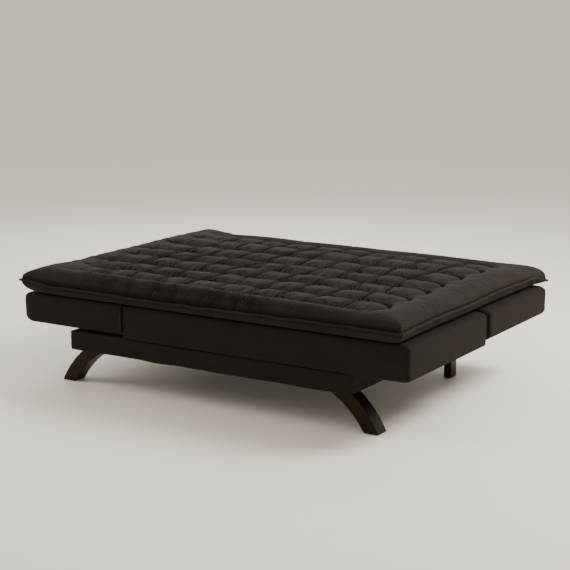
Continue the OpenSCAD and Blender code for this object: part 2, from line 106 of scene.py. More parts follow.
def make_stage():
    """Plain pale floor, pale surroundings and three soft lights."""
    mesh = bpy.data.meshes.new("floor")
    corners = [(FLOOR_HALF * x, FLOOR_HALF * y, 0) for x, y in ((-1, -1), (1, -1), (1, 1), (-1, 1))]
    mesh.from_pydata(corners, [], [(0, 1, 2, 3)])
    floor = bpy.data.objects.new("floor", mesh)
    bpy.context.collection.objects.link(floor)
    material, nodes, links, shader = new_material("floor_pale", FLOOR_TONE, 0.6)
    grain = noise_node(nodes, links, 3.0, 4)
    connect_bump(nodes, links, shader, grain, 0.02, 0.002)
    mesh.materials.append(material)
    world = bpy.data.worlds.new("studio")
    world.use_nodes = True
    background = world.node_tree.nodes["Background"]
    background.inputs["Color"].default_value = STUDIO_TONE
    background.inputs["Strength"].default_value = STUDIO_STRENGTH
    bpy.context.scene.world = world
    for light in LIGHTS:
        area_light(*light)


# ---------------------------------------------------------------- material nodes

def new_material(name, colour, roughness, metallic=0.0):
    """Material with its node tree and its Principled shader."""
    material = bpy.data.materials.new(name)
    material.use_nodes = True
    nodes = material.node_tree.nodes
    links = material.node_tree.links
    shader = nodes["Principled BSDF"]
    shader.inputs["Base Color"].default_value = (*colour, 1)
    shader.inputs["Roughness"].default_value = roughness
    shader.inputs["Metallic"].default_value = metallic
    return material, nodes, links, shader


def object_coordinates(nodes):
    """Object coordinates, from one shared node for each material."""
    found = nodes.get("object_coordinates")
    if found is None:
        found = nodes.new("ShaderNodeTexCoord")
        found.name = "object_coordinates"
    return found.outputs["Object"]


def noise_node(nodes, links, scale, detail=2.0, stretch=(1, 1, 1)):
    """Noise output in object space, stretched along the axes."""
    mapping = nodes.new("ShaderNodeMapping")
    mapping.inputs["Scale"].default_value = stretch
    links.new(object_coordinates(nodes), mapping.inputs["Vector"])
    noise = nodes.new("ShaderNodeTexNoise")
    noise.inputs["Scale"].default_value = scale
    noise.inputs["Detail"].default_value = detail
    links.new(mapping.outputs["Vector"], noise.inputs["Vector"])
    return noise.outputs["Fac"]


def thread_waves(nodes, links, direction):
    """Slightly uneven threads side by side along an axis, in object space."""
    wave = nodes.new("ShaderNodeTexWave")
    wave.bands_direction = direction
    wave.inputs["Scale"].default_value = THREAD_SCALE
    wave.inputs["Distortion"].default_value = 0.6
    wave.inputs["Detail"].default_value = 1
    links.new(object_coordinates(nodes), wave.inputs["Vector"])
    return wave.outputs["Fac"]


def added(nodes, links, a, b):
    """The sum of two outputs."""
    node = nodes.new("ShaderNodeMath")
    node.operation = "ADD"
    links.new(a, node.inputs[0])
    links.new(b, node.inputs[1])
    return node.outputs[0]


def colour_ramp(nodes, links, factor, stops):
    """Colour ramp from (position, colour) stops."""
    ramp = nodes.new("ShaderNodeValToRGB")
    elements = ramp.color_ramp.elements
    while len(elements) < len(stops):
        elements.new(0.5)
    for element, (position, colour) in zip(elements, stops):
        element.position = position
        element.color = (*colour, 1)
    links.new(factor, ramp.inputs["Fac"])
    return ramp.outputs["Color"]


def mix_colours(nodes, links, factor, a, b, blend="MIX"):
    """Two colours mixed by a factor."""
    node = nodes.new("ShaderNodeMix")
    node.data_type = "RGBA"
    node.blend_type = blend
    for socket, value in zip((node.inputs[0], node.inputs[6], node.inputs[7]), (factor, a, b)):
        if isinstance(value, (int, float)):
            socket.default_value = value
        elif isinstance(value, tuple):
            socket.default_value = (*value, 1)
        else:
            links.new(value, socket)
    return node.outputs[2]


def connect_bump(nodes, links, shader, height, strength, distance, under=None):
    """Bump into the shader, laid over another bump where one is given."""
    bump = nodes.new("ShaderNodeBump")
    bump.inputs["Strength"].default_value = strength
    bump.inputs["Distance"].default_value = distance
    links.new(height, bump.inputs["Height"])
    if under is not None:
        links.new(under, bump.inputs["Normal"])
    links.new(bump.outputs["Normal"], shader.inputs["Normal"])
    return bump.outputs["Normal"]


def scaled(colour, factor):
    """A colour made lighter or darker."""
    return tuple(min(1.0, part * factor) for part in colour)


# ---------------------------------------------------------------- materials

MATTRESS_BLACK = (0.0205, 0.0163, 0.0138)
THREAD_SCALE = 650
# How dark the painted shade in the creases goes, as a share of the cloth's colour.
CREASE_SHADE = 0.2
BASE_BLACK = (0.0155, 0.0122, 0.0098)


def brushed_fabric(name, colour, sheen, mottle=0.25):
    """Brushed microfibre: fine weave, soft pile that lies in patches, and painted shade in the creases.
    """
    material, nodes, links, shader = new_material(name, colour, 0.85)
    patches = noise_node(nodes, links, 9.0, 3, (1, 1, 1))
    fuzz = noise_node(nodes, links, 160.0, 3, (1, 1, 1))
    tone = colour_ramp(nodes, links, patches, [
        (0.3, scaled(colour, 1 - mottle)), (0.7, scaled(colour, 1 + mottle)),
    ])
    fine = colour_ramp(nodes, links, fuzz, [(0.25, (0.72, 0.72, 0.72)), (0.75, (1.0, 1.0, 1.0))])
    toned = mix_colours(nodes, links, 1.0, tone, fine, "MULTIPLY")
    # Painted shade: the cloth darkens towards CREASE_SHADE of its colour where the crease attribute
    # rises, in the hollows, seams, pleats and gathers of the top.
    crease = nodes.new("ShaderNodeAttribute")
    crease.attribute_name = "crease"
    shaded = mix_colours(nodes, links, crease.outputs["Fac"], toned, scaled(colour, CREASE_SHADE))
    links.new(shaded, shader.inputs["Base Color"])
    rough = nodes.new("ShaderNodeMapRange")
    rough.inputs["To Min"].default_value = 0.72
    rough.inputs["To Max"].default_value = 0.96
    links.new(patches, rough.inputs["Value"])
    links.new(rough.outputs["Result"], shader.inputs["Roughness"])
    shader.inputs["Sheen Weight"].default_value = sheen
    shader.inputs["Sheen Roughness"].default_value = 0.45
    shader.inputs["Sheen Tint"].default_value = (1.0, 0.88, 0.78, 1)
    shader.inputs["Specular IOR Level"].default_value = 0.06
    warp, weft, upright = [thread_waves(nodes, links, axis) for axis in "XYZ"]
    weave = added(nodes, links, added(nodes, links, warp, weft), upright)
    woven = connect_bump(nodes, links, shader, weave, 0.25, 0.0004)
    connect_bump(nodes, links, shader, fuzz, 0.3, 0.0012, woven)
    return material


def lining(name, colour):
    """Black non-woven cloth, as used for dust panels."""
    material, nodes, links, shader = new_material(name, colour, 0.95)
    fibres = noise_node(nodes, links, 260.0, 4)
    tone = colour_ramp(nodes, links, fibres, [(0.3, scaled(colour, 0.6)), (0.7, scaled(colour, 1.5))])
    links.new(tone, shader.inputs["Base Color"])
    shader.inputs["Specular IOR Level"].default_value = 0.12
    connect_bump(nodes, links, shader, fibres, 0.3, 0.0006)
    return material


def foam(name, colour):
    """Open-celled upholstery foam."""
    material, nodes, links, shader = new_material(name, colour, 1.0)
    cells = nodes.new("ShaderNodeTexVoronoi")
    cells.inputs["Scale"].default_value = 420
    links.new(object_coordinates(nodes), cells.inputs["Vector"])
    tone = colour_ramp(nodes, links, cells.outputs["Distance"], [
        (0.0, scaled(colour, 0.7)), (0.5, colour),
    ])
    links.new(tone, shader.inputs["Base Color"])
    connect_bump(nodes, links, shader, cells.outputs["Distance"], 0.5, 0.001)
    return material


def timber(name, colour, stretch):
    """Sawn softwood whose grain is drawn out along the axis with the small stretch."""
    material, nodes, links, shader = new_material(name, colour, 0.7)
    grain = noise_node(nodes, links, 14.0, 6, stretch)
    tone = colour_ramp(nodes, links, grain, [
        (0.3, scaled(colour, 0.6)), (0.55, colour), (0.8, scaled(colour, 1.2)),
    ])
    links.new(tone, shader.inputs["Base Color"])
    connect_bump(nodes, links, shader, grain, 0.25, 0.001)
    return material


def lacquer(name, colour):
    """Black-brown lacquer over open-grained timber, semi-gloss, dulled here and there."""
    material, nodes, links, shader = new_material(name, colour, 0.3)
    grain = noise_node(nodes, links, 18.0, 6, (1.5, 1.5, 12))
    tone = colour_ramp(nodes, links, grain, [
        (0.3, scaled(colour, 0.7)), (0.7, scaled(colour, 1.6)),
    ])
    links.new(tone, shader.inputs["Base Color"])
    smudge = noise_node(nodes, links, 22.0, 3)
    rough = nodes.new("ShaderNodeMapRange")
    rough.inputs["To Min"].default_value = 0.22
    rough.inputs["To Max"].default_value = 0.42
    links.new(smudge, rough.inputs["Value"])
    links.new(rough.outputs["Result"], shader.inputs["Roughness"])
    shader.inputs["Specular IOR Level"].default_value = 0.15
    shader.inputs["Specular Tint"].default_value = (1.0, 0.8, 0.62, 1)
    connect_bump(nodes, links, shader, grain, 0.12, 0.0008)
    return material


def steel(name, colour, roughness):
    """Plated or bare steel with fine scratches."""
    material, nodes, links, shader = new_material(name, colour, roughness, 1.0)
    scratches = noise_node(nodes, links, 60.0, 4, (1, 14, 1))
    rough = nodes.new("ShaderNodeMapRange")
    rough.inputs["To Min"].default_value = roughness * 0.7
    rough.inputs["To Max"].default_value = roughness * 1.3
    links.new(scratches, rough.inputs["Value"])
    links.new(rough.outputs["Result"], shader.inputs["Roughness"])
    tone = colour_ramp(nodes, links, scratches, [(0.3, scaled(colour, 0.8)), (0.7, colour)])
    links.new(tone, shader.inputs["Base Color"])
    connect_bump(nodes, links, shader, scratches, 0.06, 0.0003)
    return material


def moulded(name, colour, roughness):
    """Rubber or plastic with the fine grain of its mould."""
    material, nodes, links, shader = new_material(name, colour, roughness)
    grain = noise_node(nodes, links, 500.0, 2)
    tone = colour_ramp(nodes, links, grain, [(0.3, scaled(colour, 0.8)), (0.7, scaled(colour, 1.2))])
    links.new(tone, shader.inputs["Base Color"])
    connect_bump(nodes, links, shader, grain, 0.15, 0.0004)
    return material


TIMBER_TONE = (0.45, 0.3, 0.17)
LINING_BLACK = (0.012, 0.012, 0.012)
FOAM_YELLOW = (0.75, 0.7, 0.52)
LACQUER_BROWN = (0.0075, 0.005, 0.0034)
RAILS_ACROSS = ("base_left_rail", "base_right_rail", "base_cross_rails")
# What each material slot of the record is made of, and one more for rails that lie across.
MATERIALS = {
    "mattress_fabric": lambda: brushed_fabric("mattress_fabric", MATTRESS_BLACK, sheen=0.02),
    "base_fabric": lambda: brushed_fabric("base_fabric", BASE_BLACK, mottle=0.12, sheen=0.015),
    "lining": lambda: lining("lining", LINING_BLACK),
    "foam": lambda: foam("foam", FOAM_YELLOW),
    "timber": lambda: timber("timber", TIMBER_TONE, (0.5, 9, 9)),
    "timber_across": lambda: timber("timber_across", TIMBER_TONE, (9, 0.5, 9)),
    "leg_lacquer": lambda: lacquer("leg_lacquer", LACQUER_BROWN),
    "zinc_steel": lambda: steel("zinc_steel", (0.62, 0.63, 0.64), 0.35),
    "spring_steel": lambda: steel("spring_steel", (0.28, 0.28, 0.29), 0.45),
    "black_rubber": lambda: moulded("black_rubber", (0.015, 0.015, 0.015), 0.8),
    "nylon": lambda: moulded("nylon", (0.02, 0.02, 0.02), 0.5),
}
made_materials = {}


def material_for(slot):
    """The material for a slot, made once."""
    if slot not in made_materials:
        made_materials[slot] = MATERIALS[slot]()
    return made_materials[slot]


def dress_cad_nodes():
    """Gives every CAD node the detailed material of its slot."""
    for part in frame["record"]["subparts"]:
        across = part["node"] in RAILS_ACROSS
        material = material_for("timber_across" if across else part["material_slot"])
        for place in frame["nodes"][part["node"]].material_slots:
            place.material = material


# ---------------------------------------------------------------- measures from the frame

seat_low, seat_high = [np.array(corner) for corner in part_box("seat_cover")]
arm_low, arm_high = [np.array(corner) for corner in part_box("arm_cover")]
back_low, back_high = [np.array(corner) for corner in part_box("back_cover")]
box_low, box_high = [np.array(corner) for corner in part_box("base_cover")]
welt_low, welt_high = [np.array(corner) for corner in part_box("mattress_back_welt")]
core_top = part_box("mattress_seat_top")[1][2]

BASE_TOP = float(seat_high[2])
FOLD_X = float(arm_high[0] + seat_low[0]) / 2
FOLD_Y = float(seat_high[1] + back_low[1]) / 2
WELT_STAND = 0.008
HALF_X = float(welt_high[0]) - WELT_STAND
HALF_Y = float(welt_high[1]) - WELT_STAND
WELT_Z = float(welt_low[2] + welt_high[2]) / 2
TOP_Z = float(core_top)


# ---------------------------------------------------------------- smooth shapes and noise

def smooth(t):
    """Eases from 0 to 1 as t goes from 0 to 1."""
    t = np.clip(t, 0, 1)
    return t * t * (3 - 2 * t)


def wander(u, v, size, seed):
    """Smooth noise of about -1 to 1 whose features are about one size across."""
    draw = np.random.default_rng(seed)
    total = np.zeros(np.broadcast(u, v).shape)
    for _ in range(6):
        angle = draw.uniform(0, math.pi)
        step = 2 * math.pi / (size * draw.uniform(1.2, 2.6))
        phase = draw.uniform(0, 2 * math.pi)
        total = total + np.sin(step * (u * math.cos(angle) + v * math.sin(angle)) + phase)
    return total / 2.6


def shoulder(t):
    """1 at a seam, 0 one unit away, with a round shoulder like a stuffed channel."""
    return 1 - np.sqrt(np.clip(1 - (1 - np.clip(t, 0, 1)) ** 2, 0, 1))


def swell(t, steep):
    """0 at an edge, 1 one unit in, rising like the side of a stuffed roll."""
    return (1 - (1 - np.clip(t, 0, 1)) ** steep) ** (1 / steep)


# ---------------------------------------------------------------- the mattress's quilting

FRONT_BORDER = 0.089
REAR_BORDER = 0.105
LEFT_BORDER = 0.185
RIGHT_BORDER = 0.165
SEAT_ROWS = 4
BACK_ROWS = 3
COLUMNS = 10
SEAM_DEPTH = 0.032
SEAM_STRAY = 0.0038
TUFT_DEPTH = 0.0105
TUFT_WIDTH = 0.040
SEAM_CUT = 0.007
FOLD_DEPTH = 0.0058
CORNER_BLEND = 2.5
REAR_DROP = 0.021
LEFT_DROP = 0.008
FRONT_LIFT = 0.010
FRONT_SAG = 0.008
EAR_RISE = 0.011
EAR_REACH = 0.11
CORNER_DROOP = 0.036
DROOP_REACH = 0.075
ROLL_REACH = 0.070
ROLL_STEEPNESS = 2.4
BORDER_SHOULDER = 0.034
UNDER_REACH = 0.055

field_x = (-HALF_X + LEFT_BORDER, HALF_X - RIGHT_BORDER)
field_y = (-HALF_Y + FRONT_BORDER, HALF_Y - REAR_BORDER)
row_seams = np.concatenate([
    np.linspace(field_y[0], FOLD_Y, SEAT_ROWS + 1),
    np.linspace(FOLD_Y, field_y[1], BACK_ROWS + 1)[1:],
])
column_pitch = (field_x[1] - field_x[0]) / COLUMNS


def seam_wander(k, x):
    """How far row seam k strays from straight at x."""
    return SEAM_STRAY * wander(x, 0, 0.16, 40 + k)


def row_shape(x, y):
    """Depth inside the nearest quilted row (negative in the border), its number and half width."""
    best = np.full(np.shape(x), -9.0)
    number = np.zeros(np.shape(x), int)
    width = np.full(np.shape(x), 0.08)
    draw = np.random.default_rng(7)
    for k in range(len(row_seams) - 1):
        low = row_seams[k] + seam_wander(k, x)
        high = row_seams[k + 1] + seam_wander(k + 1, x)
        half = (high - low) / 2
        across = np.abs(y - (low + high) / 2)
        right = np.clip(x - (field_x[1] + draw.uniform(-0.010, 0.010) - 0.8 * half), 0, None)
        depth = half - np.sqrt(across ** 2 + right ** 2)
        closer = depth > best
        best = np.where(closer, depth, best)
        number = np.where(closer, k, number)
        width = np.where(closer, half, width)
    return best, number, width


def field_strength(x):
    """1 over the quilted field, fading to 0 in the left border, where the seams run out."""
    return smooth((x - field_x[0] + 0.02) / 0.05)


def tuft_lines():
    """For each row, where its cross seams lie, how deep they are and how they slant."""
    draw = np.random.default_rng(21)
    lines = []
    for _ in range(len(row_seams) - 1):
        shifts = draw.uniform(-0.1, 0.1, COLUMNS - 1)
        places = field_x[0] + column_pitch * (np.arange(1, COLUMNS) + shifts)
        depths = TUFT_DEPTH * draw.uniform(0.55, 1.35, COLUMNS - 1)
        slants = draw.uniform(-0.22, 0.22, COLUMNS - 1)
        lines.append((places, depths, slants))
    return lines


TUFTS = tuft_lines()


def cross_seams(x, y, number):
    """Depth of the cross seams, and the nearness of the closest one, at each point."""
    dip = np.zeros(np.shape(x))
    near = np.zeros(np.shape(x))
    for k, (places, depths, slants) in enumerate(TUFTS):
        middle = (row_seams[k] + row_seams[k + 1]) / 2
        here = number == k
        for place, depth, slant in zip(places, depths, slants):
            line = place + slant * (y - middle) + 0.004 * wander(y, place, 0.07, k)
            away = np.abs(x - line)
            dip = np.where(here, np.maximum(dip, depth * shoulder(away / TUFT_WIDTH)), dip)
            near = np.where(here, np.maximum(near, np.exp(-(away / 0.028) ** 2)), near)
    return dip, near


def edge_distance(x, y):
    """Distance in from the edge, small all along the way into a corner's tip."""
    across = HALF_X - np.abs(x) + 1e-6
    along = HALF_Y - np.abs(y) + 1e-6
    return (across ** -CORNER_BLEND + along ** -CORNER_BLEND) ** (-1 / CORNER_BLEND)


def plump_front(x):
    """1 where the front roll is fullest, left of the middle, fading towards both ends."""
    return smooth((x + HALF_X - 0.02) / 0.15) * smooth((0.45 - x) / 0.5)


def welt_height(x, y):
    """The welt dips and rises a little on its way round, most at two of the corners."""
    height = WELT_Z + 0.0025 * wander(x, y, 0.35, 3)
    front_left = np.exp(-((x + HALF_X) ** 2 + (y + HALF_Y) ** 2) / EAR_REACH ** 2)
    rear_right = np.exp(-((x - HALF_X) ** 2 + (y - HALF_Y) ** 2) / DROOP_REACH ** 2)
    front_sag = (0.003 + FRONT_SAG * plump_front(x)) * smooth(1 - (y + HALF_Y) / 0.1)
    return height - front_sag + EAR_RISE * front_left - CORNER_DROOP * rear_right


def crest_height(x, y):
    """Height of the top of the border: lower along the rear and left, fuller in front."""
    rear = smooth((y - (row_seams[-1] - 0.25)) / 0.27) * smooth((x - field_x[0] + 0.15) / 0.2)
    left = smooth((field_x[0] + 0.05 - x) / 0.15) * smooth((y + 0.55) / 0.2)
    front = smooth((row_seams[0] + 0.02 - y) / 0.04) * plump_front(x)
    return TOP_Z - REAR_DROP * rear - LEFT_DROP * left + FRONT_LIFT * front


def quilted_height(x, y):
    """Height of the mattress's top before the cloth is blown up."""
    inside, number, half = row_shape(x, y)
    edge = edge_distance(x, y)
    rim = welt_height(x, y)
    roll = (crest_height(x, y) - rim) * swell(edge / ROLL_REACH, ROLL_STEEPNESS)
    seam = SEAM_DEPTH * shoulder(inside / half)
    outside = SEAM_DEPTH * shoulder(-inside / BORDER_SHOULDER)
    dip, _ = cross_seams(x, y, number)
    field = inside > 0
    strength = field_strength(x)
    quilt = np.where(field, (seam ** 1.6 + dip ** 1.6) ** (1 / 1.6), outside) * strength
    quilt = quilt * smooth(edge / 0.06)
    row_lift = 0.003 * wander(x, y, 0.12, 5) - 0.004
    border_lift = 0.002 * wander(x, y, 0.3, 6)
    lift = np.where(field, row_lift * smooth(inside / half) * strength, 0) + border_lift
    return rim + roll - quilt + lift * smooth(edge / 0.06)


def underside_height(x, y):
    """Flat on the base, curving up to the welt round the edge."""
    edge = edge_distance(x, y)
    drop = welt_height(x, y) - BASE_TOP
    return BASE_TOP + drop * (1 - swell(edge / UNDER_REACH, 2))


# ---------------------------------------------------------------- the mattress's grid

GRID_FINE = 0.0045
GRID_COARSE = 0.0095
GRID_GROWTH = 1.16


def edge_steps():
    """Distances in from an edge that start fine and grow until they are coarse."""
    steps = [0.0]
    step = GRID_FINE
    while step < GRID_COARSE:
        steps.append(steps[-1] + step)
        step *= GRID_GROWTH
    return np.array(steps)


def grid_line(half):
    """Places from -half to half, closer together near both ends."""
    near = edge_steps()
    count = int(round(2 * (half - near[-1]) / GRID_COARSE))
    middle = np.linspace(-half + near[-1], half - near[-1], count + 1)
    return np.concatenate([-half + near[:-1], middle, half - near[:-1][::-1]])


def doubled(grid, axis):
    """Twice as many grid lines along an axis, on a smooth curve through the old ones."""
    g = np.moveaxis(grid, axis, 0)
    before = np.concatenate([2 * g[:1] - g[1:2], g[:-2]])
    after = np.concatenate([g[2:], 2 * g[-1:] - g[-2:-1]])
    between = (9 * (g[:-1] + g[1:]) - before - after) / 16
    out = np.empty((2 * len(g) - 1,) + g.shape[1:])
    out[0::2] = g
    out[1::2] = between
    return np.moveaxis(out, 0, axis)


def cell_corners(lattice):
    """The four corners of every cell of a lattice, anticlockwise."""
    return np.stack([lattice[:-1, :-1], lattice[:-1, 1:], lattice[1:, 1:], lattice[1:, :-1]], -1)


def grid_faces(rows, columns):
    """Faces between the points of a grid."""
    return cell_corners(np.arange(rows * columns).reshape(rows, columns)).reshape(-1, 4)


def mesh_object(name, points, faces):
    """New smooth-shaded object in the scene."""
    mesh = bpy.data.meshes.new(name)
    mesh.from_pydata([tuple(p) for p in points], [], [tuple(int(i) for i in f) for f in faces])
    mesh.update()
    mesh.shade_smooth()
    made = bpy.data.objects.new(name, mesh)
    bpy.context.collection.objects.link(made)
    return made


INSIDE_PRESSURE = 2.2
CLOTH_GROWTH = 0.03
MOST_MOVEMENT = 0.008
CLOTH_FRAMES = 18
TUFT_HOLD = 0.15


def blow_up(points, faces, pinned, fullness):
    """Cloth simulation of a sheet held where it is pinned; returns where its points end."""
    sheet = mesh_object("cloth_trial", points, faces)
    group = sheet.vertex_groups.new(name="held")
    for weight in np.unique(pinned[pinned > 0]):
        group.add([int(i) for i in np.nonzero(pinned == weight)[0]], float(weight), "REPLACE")
    tight = sheet.vertex_groups.new(name="tightness")
    steps = 1 - np.round(fullness * 10) / 10
    for weight in np.unique(steps[steps > 0]):
        tight.add([int(i) for i in np.nonzero(steps == weight)[0]], float(weight), "REPLACE")
    cloth = sheet.modifiers.new("cloth", "CLOTH")
    settings = cloth.settings
    settings.quality = 6
    settings.mass = 0.25
    settings.tension_stiffness = 12
    settings.compression_stiffness = 12
    settings.shear_stiffness = 4
    settings.bending_stiffness = 0.15
    settings.air_damping = 4
    settings.vertex_group_mass = "held"
    settings.use_pressure = True
    settings.uniform_pressure_force = INSIDE_PRESSURE
    settings.vertex_group_shrink = "tightness"
    settings.shrink_min = -CLOTH_GROWTH
    settings.shrink_max = 0
    settings.effector_weights.gravity = 0
    cloth.collision_settings.use_collision = False
    cloth.point_cache.frame_start = 1
    cloth.point_cache.frame_end = CLOTH_FRAMES
    scene = bpy.context.scene
    for number in range(1, CLOTH_FRAMES + 1):
        scene.frame_set(number)
    solved = sheet.evaluated_get(bpy.context.evaluated_depsgraph_get()).to_mesh()
    ended = np.empty(len(points) * 3)
    solved.vertices.foreach_get("co", ended)
    scene.frame_set(1)
    bpy.data.objects.remove(sheet)
    moved = ended.reshape(-1, 3) - points
    length = np.linalg.norm(moved, axis=1, keepdims=True)
    return points + moved * np.minimum(1, MOST_MOVEMENT / np.maximum(length, 1e-9))


GATHERS_START = -HALF_X + 0.275
GATHERS_END = HALF_X - 0.535
GATHER_PITCH = 0.0145


def gathered_front(x):
    """1 where the front border is gathered, less towards its ends."""
    return smooth((x - GATHERS_START) / 0.10) * (0.2 + 0.8 * smooth((GATHERS_END - x) / 0.14))


def spare_cloth(x, y):
    """How full the cloth is cut, from 0 to 1: most in the field and the gathered front."""
    inside, _, _ = row_shape(x, y)
    field = np.where(inside > 0, 0.9, 0.1) * field_strength(x)
    front = 0.25 * gathered_front(x) * (y < row_seams[0])
    left = 0.45 * (1 - field_strength(x)) * smooth((y + HALF_Y) / 0.15)
    return np.clip(np.maximum(np.maximum(field, front), left), 0, 1)


def held_cloth(x, y):
    """How firmly the sheet is held: fully at its edge and row seams, weakly at the tufts."""
    inside, number, _ = row_shape(x, y)
    _, near = cross_seams(x, y, number)
    quilted = field_strength(x) > 0.5
    held = np.where(quilted & (np.abs(inside) < 0.006), 1.0, 0.0)
    held = np.where(quilted & (inside > 0) & (near > 0.95), np.maximum(held, TUFT_HOLD), held)
    return np.where(edge_distance(x, y) < 0.012, 1.0, held)


def mattress_sheet():
    """Grid of points of the mattress's top, quilted, blown up and gathered, and its creases."""
    x, y = np.meshgrid(grid_line(HALF_X), grid_line(HALF_Y))
    z = quilted_height(x, y)
    points = np.stack([x, y, z], -1).reshape(-1, 3)
    held = held_cloth(x, y).reshape(-1)
    fullness = spare_cloth(x, y).reshape(-1)
    points = blow_up(points, grid_faces(*x.shape), held, fullness)
    x, y, z = np.moveaxis(points.reshape(x.shape + (3,)), -1, 0)
    x, y, z = [doubled(doubled(doubled(g, 0), 1), 1) for g in (x, y, z)]
    return gathered(x, y, z)


def pleat(phase, crest=0.68):
    """Sharp-crested fold: rises slowly and drops quickly once a turn, from 0 to 1."""
    turn = phase - np.floor(phase)
    return np.where(turn < crest, smooth(turn / crest), 1 - smooth((turn - crest) / (1 - crest)))


def outward_normals(points):
    """Unit normals of a grid of points, pointing up and out."""
    normals = np.cross(np.gradient(points, axis=1), np.gradient(points, axis=0))
    return normals / np.linalg.norm(normals, axis=-1, keepdims=True)


def gathered(x, y, z):
    """Presses gathers, pleats and creases into the blown-up sheet, square to its surface.
    Also returns how far each point lies in a crease, from 0 to 1, as the mask of the painted shade in
    the creases."""
    inside, number, half = row_shape(x, y)
    edge = edge_distance(x, y)
    seam_line = np.exp(-(inside / 0.0055) ** 2) * field_strength(x) * smooth(edge / 0.03)
    press = front_gathers(x, y, z) + pleats_across(x, y, number, inside, half) + rumples(x, y)
    points = np.stack([x, y, z], -1)
    points -= press[..., None] * outward_normals(points)
    x, y, z = np.moveaxis(points, -1, 0)
    z = z - SEAM_CUT * seam_line - dimples(x, y)
    # The crease mask that carries the painted shade: darkest in hollows and pressed-in folds.
    return x, y, z, np.clip(hollows(z) + 0.5 * press / FOLD_DEPTH, 0, 1)


def front_gathers(x, y, z):
    """Depth of the curved gathers that hang from the front seam down the border."""
    forward = np.clip((row_seams[0] - y) / FRONT_BORDER, 0, 1)
    drop = np.clip((TOP_Z - z) / (TOP_Z - WELT_Z), 0, 1)
    down = (forward + drop) / 2
    reach = 0.70 + 0.14 * wander(x, 0, 0.03, 65)
    fade = smooth((row_seams[0] + 0.006 - y) / 0.012) * (1 - smooth((down - reach) / 0.2))
    strength = np.clip(0.8 + 0.7 * wander(x, 0.3 * y, 0.035, 62), 0.2, 1.5)
    curve = 0.024 * down ** 1.3 + 0.010 * wander(x, y, 0.25, 61)
    curve = curve + 0.0035 * wander(x, 0.5 * y, 0.05, 66)
    folds = pleat((x + curve) / GATHER_PITCH)
    return 0.72 * FOLD_DEPTH * folds * fade * strength * gathered_front(x)


PLEAT_SPREAD = 0.1


def pleats_across(x, y, number, inside, half):
    """Bundles of parallel pleats that cross each row where it is tufted down."""
    total = np.zeros(np.shape(x))
    draw = np.random.default_rng(91)
    for k, (places, depths, slants) in enumerate(TUFTS):
        middle = (row_seams[k] + row_seams[k + 1]) / 2
        here = number == k
        for place, depth, slant in zip(places, depths, slants):
            spacing = draw.uniform(0.012, 0.018)
            width = draw.uniform(0.015, 0.030)
            bow = draw.uniform(-3, 3)
            turn = draw.uniform(0, 1)
            away = x - place - slant * (y - middle) - bow * (y - middle) ** 2
            to_seam = smooth((half - inside) / half * 1.3)
            bundle = np.exp(-(away / width) ** 2) * (0.35 + 0.65 * to_seam)
            fold = 1.35 * depth * pleat(away / spacing + turn) * bundle
            total = np.where(here & (np.abs(away) < PLEAT_SPREAD), total + fold, total)
    return total * smooth(inside / 0.010) * field_strength(x)


RUMPLES = 22
RUMPLE_X = FOLD_X + 0.17
RUMPLE_Y = FOLD_Y - 0.09


def rumples(x, y):
    """Short crossing creases where the folds of seat, arm and back meet."""
    total = np.zeros(np.shape(x))
    draw = np.random.default_rng(52)
    for _ in range(RUMPLES):
        middle_x = RUMPLE_X + draw.uniform(-0.17, 0.17)
        middle_y = RUMPLE_Y + draw.uniform(-0.13, 0.10)
        angle = draw.uniform(0.25, 1.25) * (1 if draw.uniform() < 0.7 else -1)
        dx, dy = x - middle_x, y - middle_y
        along = dx * math.cos(angle) + dy * math.sin(angle)
        across = dy * math.cos(angle) - dx * math.sin(angle) - 4 * draw.uniform(-1, 1) * along ** 2
        length = draw.uniform(0.02, 0.045)
        depth = draw.uniform(0.002, 0.0055)
        total += depth * np.exp(-(across / 0.0065) ** 2 - (along / length) ** 2)
    return total


DIMPLE_INSET = 0.028
DIMPLE_DEPTH = 0.018
RAY_DEPTH = 0.0034


def dimples(x, y):
    """Creases that fan out from the left ends of the row seams into the border."""
    total = np.zeros(np.shape(x))
    draw = np.random.default_rng(33)
    for seam in row_seams[2:-1]:
        dx = x - (field_x[0] - DIMPLE_INSET + draw.uniform(-0.012, 0.012))
        dy = y - seam
        distance = np.sqrt(dx ** 2 + dy ** 2)
        hollow = DIMPLE_DEPTH * np.exp(-(distance / 0.036) ** 1.4)
        bearing = np.arctan2(dy, dx)
        rays = np.cos(draw.integers(6, 9) * bearing + draw.uniform(0, 6))
        rays = rays + 0.6 * np.cos(draw.integers(10, 14) * bearing + draw.uniform(0, 6))
        outwards = smooth(0.6 - dx / 0.05)
        ring = np.exp(-(distance / 0.085) ** 2) * smooth(distance / 0.025)
        total += hollow + RAY_DEPTH * rays * ring * outwards
    return total


SIDE_BOW = 0.007


def pull_in(x, y):
    """Draws the sides in between the corners, so that the corners stand out as ears."""
    part_x = np.abs(x) / HALF_X
    part_y = np.abs(y) / HALF_Y
    new_x = x - np.sign(x) * SIDE_BOW * part_x ** 6 * (1 - part_y ** 5)
    new_y = y - np.sign(y) * SIDE_BOW * part_y ** 6 * (1 - part_x ** 5)
    return new_x, new_y


def split_cells(x, y):
    """True for the grid cells that belong to the seat and arm piece."""
    centre_x = (x[:-1, :-1] + x[1:, 1:]) / 2
    centre_y = (y[:-1, :-1] + y[1:, 1:]) / 2
    over_seat = centre_y < row_seams[SEAT_ROWS - 1]
    over_arm = (centre_x < FOLD_X) & (centre_y < FOLD_Y)
    return over_seat | over_arm


